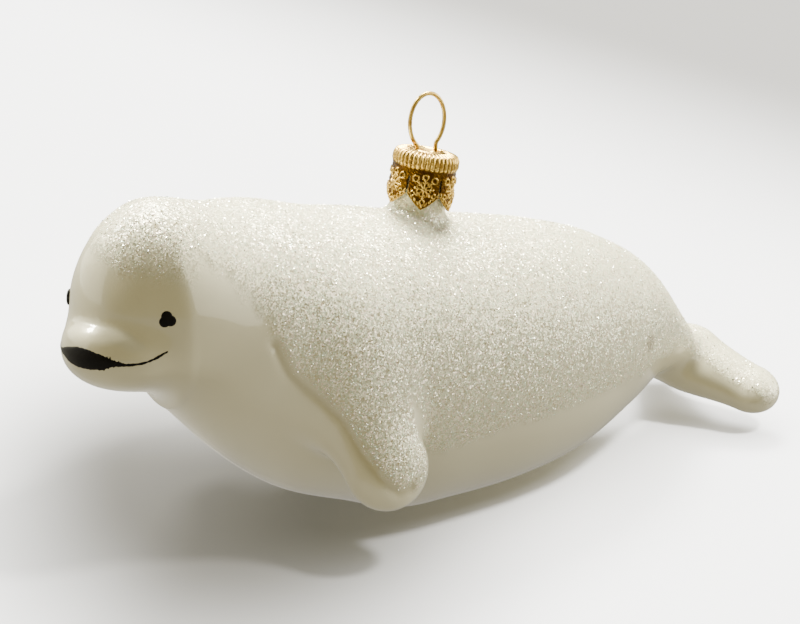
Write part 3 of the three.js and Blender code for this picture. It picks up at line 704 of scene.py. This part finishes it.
def closed_patch(top, under):
    """Two grids of the same size, turned into one closed skin: top, underside and the rim between.
    The last column of each grid meets its first, and the first row is a single point."""
    rows, count = top.shape[:2]
    points = np.concatenate([top.reshape(-1, 3), under.reshape(-1, 3)])
    i, j = np.meshgrid(np.arange(rows - 1), np.arange(count), indexing="ij")
    a = i * count + j
    b = i * count + (j + 1) % count
    up = np.stack([a, a + count, b + count, b], -1).reshape(-1, 4)
    down = up[:, ::-1] + rows * count
    edge = (rows - 1) * count + np.arange(count)
    beside = (rows - 1) * count + (np.arange(count) + 1) % count
    rim = np.stack([edge, edge + rows * count, beside + rows * count, beside], -1)
    return points, np.concatenate([up, down, rim])


def merge_points(made, distance=1e-6):
    """Joins vertices that share a place, such as a pole, and turns every face outwards."""
    work = bmesh.new()
    work.from_mesh(made.data)
    bmesh.ops.remove_doubles(work, verts=work.verts, dist=distance)
    bmesh.ops.recalc_face_normals(work, faces=work.faces)
    work.to_mesh(made.data)
    work.free()
    made.data.update()


for side, eye_name in ((1, "eye_left"), (-1, "eye_right")):
    middle, out = settle_on(glass_distance, head_point(*EYE_PLACES[side])[None], 6)
    middle, out = middle[0], out[0]
    level = direction(np.cross([0, 0, 1], out))
    upward = np.cross(out, level)
    s = np.linspace(0, 1, EYE_GRID[0])[:, None]
    a = np.linspace(0, 2 * np.pi, EYE_GRID[1], endpoint=False)[None, :]
    dabs = [np.pi / 2 + 2 * np.pi * k / 3 + EYE_TURN * side for k in range(3)]
    reach = np.max([EYE_SPREAD * np.cos(a - d) + np.sqrt(np.maximum(
        EYE_DOT ** 2 - (EYE_SPREAD * np.sin(a - d)) ** 2, 0.01)) for d in dabs], axis=0)
    flat = (s * reach * np.cos(a))[..., None] * level + (s * reach * np.sin(a))[..., None] * upward
    base, base_out = settle_on(glass_distance, middle + flat, 4)
    dome = EYE_DOME[side] * np.sqrt(np.clip(1 - s ** 2.6, 0, 1)) + EYE_EDGE
    top = base + base_out * dome[..., None]
    under = base - base_out * EYE_ROOT
    eye = mesh_object(eye_name + "_dabs", *closed_patch(top, under))
    merge_points(eye)
    eye.data.materials.append(enamel)
    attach(eye, "root")
    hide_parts(eye_name)


# The mouth.
# Black enamel laid on with a brush: a broad dab over the front of the jaw that runs out through
# ragged strokes into a fine line, which rises to the corner of the smile on each cheek.
MOUTH_LINE = np.array([  # angle round the head, lower edge, upper edge, in degrees and millimetres
    [0, -5.95, -2.85],
    [4, -5.95, -2.9],
    [8, -5.85, -3.15],
    [12, -5.7, -3.45],
    [16, -5.5, -3.75],
    [20, -5.2, -4.15],
    [23, -5.12, -4.45],
    [27, -5.15, -4.72],
    [31, -5.17, -4.78],
    [36, -5.12, -4.78],
    [40.6, -5.0, -4.66],
    [45, -4.75, -4.42],
    [49.5, -4.42, -4.08],
    [53, -4.1, -3.78],
    [55.6, -3.86, -3.66],
])
MOUTH_COAT = 0.07
MOUTH_ROOT = 0.2
MOUTH_CORNER = MOUTH_LINE[-1, 0]
MOUTH_STEPS = 420
MOUTH_ROWS = 15
# The ragged strokes: the angle they are worst at, how far they spread, and their reach down and up.
STROKES_AT = 20
STROKES_SPREAD = 7
STROKES_DOWN = 0.34
STROKES_UP = 0.24


def on_head(angle, up, lift):
    """A point on the skin at an angle round the head's upright line and a height, lifted outwards."""
    radius = np.full(np.broadcast(angle, up).shape, 12.0)
    for _ in range(12):
        p = head_point(radius * np.cos(angle), radius * np.sin(angle), up + 0 * radius)
        radius = radius - np.clip(glass_distance(p), -2, 2) * 0.9
    p, n = settle_on(glass_distance, p, 2)
    return p + n * np.asarray(lift)[..., None]


mouth_angles = np.linspace(-MOUTH_CORNER, MOUTH_CORNER, MOUTH_STEPS)
low_edge = np.interp(np.abs(mouth_angles), MOUTH_LINE[:, 0], MOUTH_LINE[:, 1])
high_edge = np.interp(np.abs(mouth_angles), MOUTH_LINE[:, 0], MOUTH_LINE[:, 2])
rough = mouth_angles[:, None] * [1.0, 0.0, 0.0]
edge_shake = 0.05 * waves(rough, 3, 5) + 0.03 * waves(rough, 1.1, 6)
broken = np.exp(-((np.abs(mouth_angles) - STROKES_AT) / STROKES_SPREAD) ** 2)
low_edge = low_edge - edge_shake - STROKES_DOWN * broken * np.maximum(waves(rough, 1.7, 7), 0)
high_edge = high_edge + 0.7 * edge_shake + STROKES_UP * broken * np.maximum(waves(rough, 1.3, 8), 0)
s = np.linspace(0, 1, MOUTH_ROWS)
lift = MOUTH_COAT * np.sin(np.pi * np.clip(s, 0.001, 0.999)) ** 0.5
angle_grid = np.radians(mouth_angles)[:, None] + 0 * s[None, :]
height_grid = low_edge[:, None] * (1 - s) + high_edge[:, None] * s
thick = np.clip((high_edge - low_edge) / 0.5, 0.35, 1)[:, None]
top = on_head(angle_grid, height_grid, lift[None, :] * thick + 0.012)
under = on_head(angle_grid, height_grid, np.full_like(height_grid, -MOUTH_ROOT))
ring = np.concatenate([top, under[:, ::-1]], 1)


def closed_tube(rings):
    """A grid whose columns close into loops, with a flat fan over the first and the last loop."""
    rows, count = rings.shape[:2]
    i, j = np.meshgrid(np.arange(rows - 1), np.arange(count), indexing="ij")
    a = i * count + j
    b = i * count + (j + 1) % count
    sides = np.stack([a, b, b + count, a + count], -1).reshape(-1, 4)
    points = np.concatenate([rings.reshape(-1, 3), rings[:1].mean(1), rings[-1:].mean(1)])
    k = np.arange(0, count, 2)
    first = np.stack([np.full(len(k), rows * count), (k + 2) % count, (k + 1) % count, k], -1)
    last_row = (rows - 1) * count
    last = np.stack([np.full(len(k), rows * count + 1), last_row + k, last_row + (k + 1) % count,
                     last_row + (k + 2) % count], -1)
    return points, np.concatenate([sides, first, last])


mouth = mesh_object("mouth_enamel", *closed_tube(ring))
merge_points(mouth)
mouth.data.materials.append(enamel)
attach(mouth, "root")
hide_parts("mouth")


# The cap.
# Thin brass sheet pressed into a crowned cup with six pointed petals, embossed with a snow crystal
# on each petal, beads along its point and pleats round the shoulder, then gilded.
CAP_RADIUS = 5.35
CAP_CROWN = 1.2
CAP_FLARE = 0.25
PETALS = 6
PETAL_SIDE = 5.4
PETAL_TIP = 7.6
SLIT_TOP = 2.4
SLIT_HALF = math.radians(2.2)
FIRST_PETAL = math.radians(60)
SHEET = 0.3
EMBOSS = 0.26
CRYSTAL_AT = -4.25
CRYSTAL_ARMS = 8
CRYSTAL_REACH = 1.55
ARM_WIDTH = 0.17
KNOB_WIDTH = 0.27
BARB_WIDTH = 0.12
BARBS_FROM = 0.75
BARBS_TO = 1.35
BEAD_SPACING = 0.62
BEAD_WIDTH = 0.29
BEADS_ABOVE_RIM = 0.45
STAMPED_RINGS = [  # place across the petal, place up it, radius and width of the line
    (0, -2.35, 0.42, 0.15),
    (1.55, -2.7, 0.48, 0.14),
    (1.75, -5.15, 0.34, 0.13),
    (0, -6.35, 0.36, 0.14),
]
PLEATS = 42
PLEAT_DEPTH = 1.1
PLEATS_START = (2.9, 3.4)
CROWN_RING = 2.65
BRIDGE_REACH = 2.1
BRIDGE_HALF = 0.8
GRIT = 0.035
HOLE_AT = 1.75
HOLE_RADIUS = 0.75
ACROSS = 61
DOWN_CROWN = 34
DOWN_SIDE = 78


def cap_point(r, angle, h):
    """A point at a radius and angle round the cap's own axis and a height above its shoulder."""
    flat = (r * np.cos(angle))[..., None] * CAP_SIDE + (r * np.sin(angle))[..., None] * LEFT
    return CAP_TOP + flat + h[..., None] * CAP_AXIS


def bump(d, width):
    """A round-topped ridge: 1 on the line, 0 a width away."""
    return np.clip(1 - (d / width) ** 2, 0, 1) ** 1.5


def petal_relief(x, y, edge):
    """Embossed height on a petal, x mm across it, y up from the shoulder, edge above its rim."""
    away = np.hypot(x, y - CRYSTAL_AT)
    turn = np.arctan2(x, y - CRYSTAL_AT)
    arm = (turn * CRYSTAL_ARMS / (2 * np.pi) + 0.5) % 1 - 0.5
    off_arm = np.abs(arm) * 2 * np.pi / CRYSTAL_ARMS * away
    arms = bump(off_arm, ARM_WIDTH) * ramp(CRYSTAL_REACH - away, 0, 0.25) * ramp(away, 0.05, 0.2)
    knobs = bump(np.hypot(off_arm, away - CRYSTAL_REACH + 0.1), KNOB_WIDTH)
    barbs = bump(np.abs(off_arm - (away - BARBS_FROM) * 0.75), BARB_WIDTH)
    barbs *= ramp(away, BARBS_FROM, BARBS_FROM + 0.15) * ramp(BARBS_TO - away, 0, 0.15)
    between = ((x / BEAD_SPACING + 0.5) % 1 - 0.5) * BEAD_SPACING
    beads = bump(np.hypot(edge - BEADS_ABOVE_RIM, between), BEAD_WIDTH)
    rim = bump(edge - 0.08, 0.16) * 0.6
    rings = [bump(np.abs(np.hypot(np.abs(x) - aside, y - up) - radius), width)
             for aside, up, radius, width in STAMPED_RINGS]
    return np.max([arms, knobs, 0.8 * barbs, beads, rim, *rings], axis=0)


def pleats(angle):
    """Rounded pleats round the cap, with narrow grooves between them."""
    return np.abs(np.cos(angle * PLEATS / 2)) ** 0.7


cap_points = []
cap_heights = []
cap_quads = []
half_petal = math.pi / PETALS
petal_slope = (PETAL_TIP - PETAL_SIDE) / (half_petal * CAP_RADIUS)
w = np.linspace(-1, 1, ACROSS)[None, :]
for k in range(PETALS):
    middle = FIRST_PETAL + k * 2 * half_petal
    crown_r = np.linspace(0, CAP_RADIUS - 0.3, DOWN_CROWN)[:, None] + 0 * w
    crown_angle = middle + half_petal * w + 0 * crown_r
    crown_h = CAP_CROWN * np.sqrt(np.clip(1 - (crown_r / (CAP_RADIUS + 0.18)) ** 4.5, 0, 1))
    crown_relief = pleats(crown_angle) * ramp(crown_r, *PLEATS_START) * EMBOSS * PLEAT_DEPTH
    crown_relief += bump(crown_r - CROWN_RING, 0.22) * EMBOSS
    crown_x = crown_r * np.cos(crown_angle)
    crown_y = crown_r * np.sin(crown_angle)
    bridge = bump(crown_x, BRIDGE_HALF) * ramp(BRIDGE_REACH - crown_r, 0, 0.4) * EMBOSS * 1.3
    holes = ramp(HOLE_RADIUS - np.hypot(np.abs(crown_x) - HOLE_AT, crown_y), -0.05, 0.12)
    crown = cap_point(crown_r, crown_angle, crown_h + crown_relief + bridge - holes * 0.9)
    t = np.linspace(0, 1, DOWN_SIDE)[:, None]
    rim_h = -(PETAL_TIP - (PETAL_TIP - PETAL_SIDE) * np.abs(w) ** 1.15)
    h = t * rim_h + 0.25 * (1 - t) ** 4
    half_width = half_petal - SLIT_HALF * ramp(-h - SLIT_TOP, 0, 0.25)
    side_angle = middle + w * half_width
    x = w * half_width * CAP_RADIUS
    relief = petal_relief(x, h, (h - rim_h) / math.hypot(1, petal_slope)) * EMBOSS
    pleated = pleats(side_angle) * ramp(h, -1.5, -0.6) * EMBOSS * PLEAT_DEPTH
    relief = np.maximum(relief, pleated)
    grit = GRIT * waves(np.stack([x + 7 * k, h, 0 * h], -1), 0.5, 21)
    flare = CAP_FLARE * np.clip(-h / PETAL_TIP, 0, 1)
    side_wall = cap_point(CAP_RADIUS - 0.22 + flare + relief + grit, side_angle, h)
    wall = np.concatenate([crown, side_wall])
    i, j = np.meshgrid(np.arange(len(wall) - 1), np.arange(ACROSS - 1), indexing="ij")
    a = (k * len(wall) + i) * ACROSS + j
    cap_quads.append(np.stack([a, a + ACROSS, a + ACROSS + 1, a + 1], -1).reshape(-1, 4))
    cap_points.append(wall.reshape(-1, 3))
    crown_height = np.maximum(crown_relief, bridge) / EMBOSS - holes * 2
    cap_heights.append(np.concatenate([crown_height, relief / EMBOSS]).ravel())
cap = mesh_object("gilded_cap", np.concatenate(cap_points), np.concatenate(cap_quads))
point_value(cap, "embossed", np.concatenate(cap_heights))
merge_points(cap, 2e-6)
wall_thickness = cap.modifiers.new("sheet", "SOLIDIFY")
wall_thickness.thickness = SHEET * MM
wall_thickness.offset = -1
wall_thickness.use_even_offset = False

# Gilt shared by the cap and the wire: a random mottle of darker, redder lacquer and patches of paler,
# rubbed gilt.
GILT_TONES = [(0.32, (0.33, 0.19, 0.04)), (0.62, (0.70, 0.50, 0.14))]
gilt_wear, wear_in, wear_out = group_frame(
    "gilt_wear",
    [("Scale", "NodeSocketFloat"), ("Depth", "NodeSocketFloat")],
    [("Colour", "NodeSocketColor"), ("Roughness", "NodeSocketFloat"), ("Height", "NodeSocketFloat")])
tree = gilt_wear
place = put(tree, "TexCoord").outputs["Object"]
mottle = put(tree, "TexNoise", {
    "Vector": place, "Scale": wear_in.outputs["Scale"], "Detail": 5, "Roughness": 0.65}).outputs["Fac"]
height = put(tree, "Math", {0: mottle, 1: wear_in.outputs["Depth"]}, operation="MULTIPLY")
set_inputs(tree, wear_out, {
    "Colour": toned(tree, mottle, GILT_TONES),
    "Roughness": mapped(tree, mottle, (0.3, 0.7), (0.36, 0.2)),
    "Height": height.outputs[0]})


def gilt(name, scale, depth):
    """Metal with the shared gilt wear at its own scale and depth."""
    material, tree, shader = node_setup(name)
    wear = put(tree, "Group", node_tree=gilt_wear)
    set_inputs(tree, wear, {"Scale": scale, "Depth": depth})
    pitted = put(tree, "Bump", {
        "Height": wear.outputs["Height"], "Strength": 0.4, "Distance": 0.0001})
    set_inputs(tree, shader, {
        "Base Color": wear.outputs["Colour"], "Roughness": wear.outputs["Roughness"],
        "Normal": pitted.outputs["Normal"], "Metallic": 1})
    return material, tree, shader, wear.outputs["Colour"]


# Painted shade on the cap: its colour is darkened on the flat sheet and in the holes, and left bright
# on the embossed crests.
HOLLOW_SHADE_TONES = [(0.05, (0.16, 0.11, 0.045)), (0.75, (1, 0.96, 0.85))]
cap_metal, tree, shader, gilding = gilt("gilded_sheet", 900, 1)
embossed = put(tree, "Attribute", attribute_name="embossed").outputs["Fac"]
# Painted shade, dark where the sheet is flat or holed.
hollow_shade = toned(tree, embossed, HOLLOW_SHADE_TONES)
set_inputs(tree, shader, {"Base Color": mixed(tree, 1, gilding, hollow_shade, "MULTIPLY")})
cap.data.materials.append(cap_metal)
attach(cap, "root")
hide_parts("cap")


# The hanging loop.
# One length of springy gilded wire bent into a tall round loop, whose two legs go down through the
# holes in the cap and end in it; in the ornament they spring apart inside the glass neck.
WIRE_RADIUS = 0.35
LOOP_HALF_WIDTH = 3.3
LOOP_TOP = 67.9
LOOP_LEAN = math.radians(1.5)
LOOP_DIP = math.radians(58)
LEG_BOTTOM = 57.1
LEG_LENGTH = 2.2
LOOP_STEPS = 150
LEG_STEPS = 11
WIRE_SIDES = 28

a = np.linspace(-LOOP_DIP, math.pi + LOOP_DIP, LOOP_STEPS)
loop_low = LEG_BOTTOM + LEG_LENGTH
loop_high = LOOP_TOP - WIRE_RADIUS
rise = (np.sin(a) + math.sin(LOOP_DIP)) / (1 + math.sin(LOOP_DIP))
loop_x = LOOP_HALF_WIDTH * np.cos(a)
loop_z = loop_low + (loop_high - loop_low) * rise
leg = np.linspace(LEG_BOTTOM, loop_low, LEG_STEPS, endpoint=False)
wire_x = np.pad(loop_x, LEG_STEPS, "edge")
wire_z = np.concatenate([leg, loop_z, leg[::-1]])
for _ in range(6):
    wire_x[1:-1] = (wire_x[:-2] + 2 * wire_x[1:-1] + wire_x[2:]) / 4
    wire_z[1:-1] = (wire_z[:-2] + 2 * wire_z[1:-1] + wire_z[2:]) / 4
up = wire_z - LEG_BOTTOM
wire_path = np.stack([CAP_TOP[0] + wire_x - up * math.sin(LOOP_LEAN), 0 * up,
                      LEG_BOTTOM + up * math.cos(LOOP_LEAN)], -1)
wire_along = np.gradient(wire_path, axis=0)
wire_along /= np.linalg.norm(wire_along, axis=-1, keepdims=True)
wire_out = np.cross(LEFT, wire_along)
b = np.linspace(0, 2 * np.pi, WIRE_SIDES, endpoint=False)[None, :, None]
wire_rings = wire_path[:, None] + WIRE_RADIUS * (np.cos(b) * wire_out[:, None] + np.sin(b) * LEFT)
wire = mesh_object("wire_loop", *closed_tube(wire_rings))
merge_points(wire)
wire.data.materials.append(gilt("gilded_wire", 500, 0.35)[0])
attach(wire, "root")
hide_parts("hanger_loop")


# The studio.
# A matt white card under the ornament, with lamps of its own, and other lamps for the ornament, so
# that each is exposed as in the photograph. A grey card that the camera doesn't see lights the glass
# from below, and a dark board and two bright walls are there to be mirrored in it.
CARD_SIZE = 12000
CARD_DROP = 0.15
GREY_DROP = 0.3
PAPER = (0.85, 0.85, 0.84)
PAPER_IN_PAINTED_SHADE = (0.21, 0.205, 0.19)
PAPER_SHADE_SPAN = (0.10, 0.26)
card_corners = np.array([[-1, -1, 0], [1, -1, 0], [1, 1, 0], [-1, 1, 0]]) * CARD_SIZE


def plain_card(name, corners, colour):
    """A flat matt sheet of one colour, which is part of the studio and not of the ornament."""
    sheet = mesh_object(name, corners, [[0, 1, 2, 3]])
    material, tree, shader = node_setup(name)
    set_inputs(tree, shader, {
        "Base Color": (*colour, 1), "Roughness": 0.9, "Specular IOR Level": 0.1})
    sheet.data.materials.append(material)
    return sheet, tree, shader


# The far right of the card is painted greyer, as painted shade where the light falls off, and a wide
# soft shadow is painted under the ornament and in front of it, which also glows faintly as painted
# light.
SHADE_CENTRE = (0.028, -0.024, 0)
SHADE_REACH = (0.125, 0.064, 1)
SHADE_TURN = (0, 0, 1.14)
SHADE_FADES = (0.22, 1)
SHADE_BEHIND = (-0.099, -0.004)
SHADE_TONE = (0.075, 0.072, 0.064, 1)
SHADE_GLOW = (1, 0.95, 0.74, 1)
TOWARDS_FAR_RIGHT_SHADE = (-1, 0, 0)
TOWARDS_CAMERA = (0.545, 0.839, 0)

white_card, tree, shader = plain_card("white_card", card_corners - [0, 0, CARD_DROP], PAPER)
place = put(tree, "TexCoord").outputs["Object"]
far_right_shade = put(tree, "VectorMath", {0: place, 1: TOWARDS_FAR_RIGHT_SHADE}, operation="DOT_PRODUCT").outputs["Value"]
paper = toned(tree, far_right_shade, list(zip(PAPER_SHADE_SPAN, (PAPER, PAPER_IN_PAINTED_SHADE))), "EASE")
shade_place = put(tree, "Mapping", {
    "Vector": place, "Location": SHADE_CENTRE, "Rotation": SHADE_TURN, "Scale": SHADE_REACH},
    vector_type="TEXTURE").outputs[0]
shade_away = put(tree, "VectorMath", {0: shade_place}, operation="LENGTH").outputs["Value"]
forward = put(tree, "VectorMath", {0: place, 1: TOWARDS_CAMERA}, operation="DOT_PRODUCT")
shade = put(tree, "Math", {
    0: mapped(tree, shade_away, SHADE_FADES, (1, 0), "SMOOTHSTEP"),
    1: mapped(tree, forward.outputs["Value"], SHADE_BEHIND, (0, 1), "SMOOTHSTEP"),
}, operation="MULTIPLY").outputs[0]
# Painted shade on the card, greyer to the far right and darker in the painted shadow, which also glows
# faintly as painted light.
set_inputs(tree, shader, {
    "Base Color": mixed(tree, shade, paper, SHADE_TONE),
    "Emission Color": mixed(tree, shade, (0, 0, 0, 1), SHADE_GLOW),
    "Emission Strength": 0.13})
white_card.visible_diffuse = False
white_card.visible_glossy = False
white_card.visible_shadow = False

grey_card, tree, shader = plain_card(
    "grey_card", card_corners - [0, 0, GREY_DROP], (0.05, 0.048, 0.042))
set_inputs(tree, shader, {"Emission Color": (1.0, 0.95, 0.84, 1), "Emission Strength": 0.43})
grey_card.visible_camera = False


def upright_sheet(turn, away, width, height):
    """Corners of an upright sheet that faces the ornament, turned from the camera's own bearing."""
    bearing = CAMERA_AZIMUTH + turn
    towards = np.array([math.sin(bearing), -math.cos(bearing), 0])
    aside = np.cross([0, 0, 1], towards)
    foot = CAMERA_AIM * [1, 1, 0] + towards * away
    return [foot + aside * width / 2 * u + np.array([0, 0, height * v])
            for u, v in ((-1, 0), (1, 0), (1, 1), (-1, 1))]


# What the glossy glass mirrors: a low dark board where the photographer stands and a bright wall on
# each side of it.
BOARD = (math.radians(-4), 560, 1150, 330)
WALL_AWAY = 900
WALL_SIZE = (1500, 1100)
WALLS = [("left_wall", math.radians(-98), 0.9), ("right_wall", math.radians(92), 1.8)]
dark_board = plain_card("dark_board", upright_sheet(*BOARD), (0.10, 0.085, 0.05))[0]
dark_board.visible_camera = False
for wall_name, turn, glow in WALLS:
    wall, tree, shader = plain_card(
        wall_name, upright_sheet(turn, WALL_AWAY, *WALL_SIZE), (0.5, 0.5, 0.46))
    set_inputs(tree, shader, {"Emission Color": (1.0, 0.97, 0.86, 1), "Emission Strength": glow})
    wall.visible_camera = False
    wall.visible_diffuse = False
    wall.visible_shadow = False

# The lamps are round and face the ornament. INCLUDE ones light the white card alone, and EXCLUDE ones
# light everything but it.
LAMPS = [  # name, direction, distance, size, watts, colour, and how it is linked to the white card
    ("ceiling", (-0.05, -0.08, 1.0), 1300, 3000, 148, (1.0, 0.995, 0.98), "INCLUDE"),
    ("card_lamp", (-0.14, 0.50, 0.855), 1500, 200, 42, (1.0, 0.99, 0.97), "INCLUDE"),
    ("card_window", (-0.327, -0.503, 0.8), 1400, 500, 34, (1.0, 1.0, 0.99), "INCLUDE"),
    ("glass_lamp", (-0.34, -0.46, 0.82), 1500, 800, 200, (1.0, 0.965, 0.80), "EXCLUDE"),
    ("window", (-0.93, 0.30, 0.22), 1300, 420, 16, (1.0, 0.97, 0.86), "EXCLUDE"),
    ("lip_lamp", (0.36, -0.50, 0.79), 1400, 300, 38, (1.0, 0.97, 0.84), "EXCLUDE"),
]
for lamp_name, towards, distance, size, watts, colour, card_link in LAMPS:
    data = bpy.data.lights.new(lamp_name, "AREA")
    data.shape = "DISK"
    data.size = size * MM
    data.energy = watts
    data.color = colour
    lamp = bpy.data.objects.new(lamp_name, data)
    d = direction(np.array(towards))
    lamp.location = (CAMERA_AIM + d * distance) * MM
    lamp.rotation_euler = (math.acos(d[2]), 0, math.atan2(d[1], d[0]) + math.pi / 2)
    bpy.context.scene.collection.objects.link(lamp)
    linked = bpy.data.collections.new(lamp_name + "_lit")
    linked.objects.link(white_card)
    lamp.light_linking.receiver_collection = linked
    linked.collection_objects[0].light_linking.link_state = card_link

world = bpy.data.worlds.new("studio")
bpy.context.scene.world = world
world.use_nodes = True
world.node_tree.nodes["Background"].inputs["Color"].default_value = (1.0, 0.945, 0.75, 1)
world.node_tree.nodes["Background"].inputs["Strength"].default_value = 0.30
